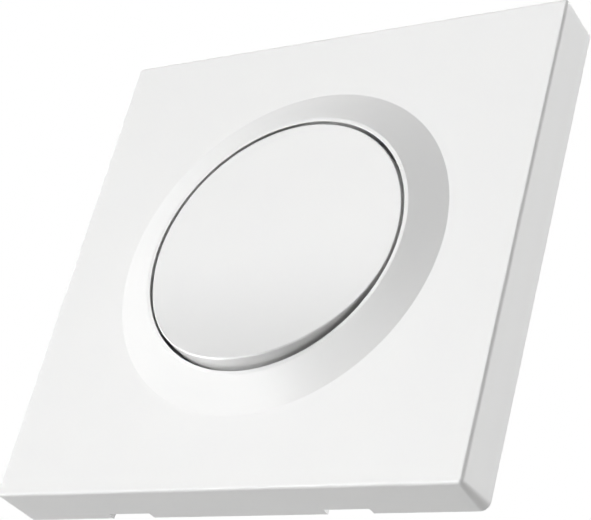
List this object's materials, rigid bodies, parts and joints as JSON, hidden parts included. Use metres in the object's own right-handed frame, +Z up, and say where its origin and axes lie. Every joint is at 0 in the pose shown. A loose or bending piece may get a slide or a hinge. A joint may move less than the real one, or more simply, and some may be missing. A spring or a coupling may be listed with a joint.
{
  "type": "smart light switch",
  "caption": "Flush wall switch: square cover frame with a raised conical ring round a scooped push rocker, over a hinge, a radio board, a relay and push-in wire terminals in a round box.",
  "frame": {"origin": "centre of the wall-box screw pattern on the back of the steel support frame, in the wall plane", "axes": "+Y into the wall, square to the plate; +Z up the wall; +X to the right for a viewer in front"},
  "size_m": [0.082, 0.0383, 0.082],
  "materials": {
    "white_plastic": "fine satin moulded polycarbonate, pure white",
    "light_grey_plastic": "moulded polyamide, pale grey",
    "dark_grey_plastic": "moulded flame-retardant plastic, anthracite",
    "black_plastic": "moulded plastic, black",
    "orange_plastic": "moulded plastic, orange release buttons",
    "zinc_steel": "zinc-plated sheet steel",
    "polished_steel": "drawn bright steel",
    "spring_steel": "bright spring strip",
    "tinned_steel": "tinned sheet can",
    "contact_brass": "stamped brass strip",
    "circuit_board": "glass-epoxy laminate with green solder mask",
    "relay_case": "glossy moulded case, dark blue",
    "ferrite": "sintered ferrite, dark grey",
    "winding_tape": "polyester tape over the winding, yellow",
    "capacitor_sleeve": "shrunk film sleeve, near black",
    "varistor_coating": "dipped epoxy, blue"
  },
  "bodies": {
    "wall_side": {"cover_frame": "white_plastic", "support_frame": "zinc_steel", "rocker_axle": "polished_steel", "return_leaf": "spring_steel", "front_chassis": "light_grey_plastic", "housing_screws": "zinc_steel", "rear_housing": "dark_grey_plastic", "control_board": "circuit_board", "tact_switch_body": "black_plastic", "tact_switch_cover": "polished_steel", "radio_module": "circuit_board", "radio_shield": "tinned_steel", "board_header": "black_plastic", "power_board": "circuit_board", "relay": "relay_case", "transformer_core": "ferrite", "transformer_bobbin": "winding_tape", "bulk_capacitor": "capacitor_sleeve", "varistor": "varistor_coating", "fuse": "black_plastic", "terminal_block": "light_grey_plastic", "terminal_busbars": "contact_brass", "clamp_spring_1": "spring_steel", "clamp_spring_2": "spring_steel", "clamp_spring_3": "spring_steel", "clamp_spring_4": "spring_steel"},
    "rocker": {"rocker_cap": "white_plastic", "rocker_carrier": "light_grey_plastic"},
    "contact_stem": {"tact_switch_stem": "black_plastic"},
    "release_1": {"release_button_1": "orange_plastic"},
    "release_2": {"release_button_2": "orange_plastic"},
    "release_3": {"release_button_3": "orange_plastic"},
    "release_4": {"release_button_4": "orange_plastic"}
  },
  "joints": [
    {"name": "rocker_press", "type": "hinge", "parent": "wall_side", "child": "rocker", "pos_m": [0, -0.0051, 0.014], "axis": [1, 0, 0], "range_deg": [0, 1.5], "stiffness_Nm_per_rad": 1.5, "springref_deg": -3.12, "deforming": ["return_leaf"]},
    {"name": "stem_press", "type": "slide", "parent": "wall_side", "child": "contact_stem", "axis": [0, 1, 0], "range_m": [0, 0.00035]},
    {"name": "release_press_1", "type": "slide", "parent": "wall_side", "child": "release_1", "axis": [0, -1, 0], "range_m": [0, 0.0012], "stiffness_N_per_m": 400, "springref_m": -0.001, "deforming": ["clamp_spring_1"]},
    {"name": "release_press_2", "type": "slide", "parent": "wall_side", "child": "release_2", "axis": [0, -1, 0], "range_m": [0, 0.0012], "stiffness_N_per_m": 400, "springref_m": -0.001, "deforming": ["clamp_spring_2"]},
    {"name": "release_press_3", "type": "slide", "parent": "wall_side", "child": "release_3", "axis": [0, -1, 0], "range_m": [0, 0.0012], "stiffness_N_per_m": 400, "springref_m": -0.001, "deforming": ["clamp_spring_3"]},
    {"name": "release_press_4", "type": "slide", "parent": "wall_side", "child": "release_4", "axis": [0, -1, 0], "range_m": [0, 0.0012], "stiffness_N_per_m": 400, "springref_m": -0.001, "deforming": ["clamp_spring_4"]}
  ],
  "couplings": [
    {"joint": "stem_press", "follows": "rocker_press", "m_per_rad": 0.0125}
  ]
}
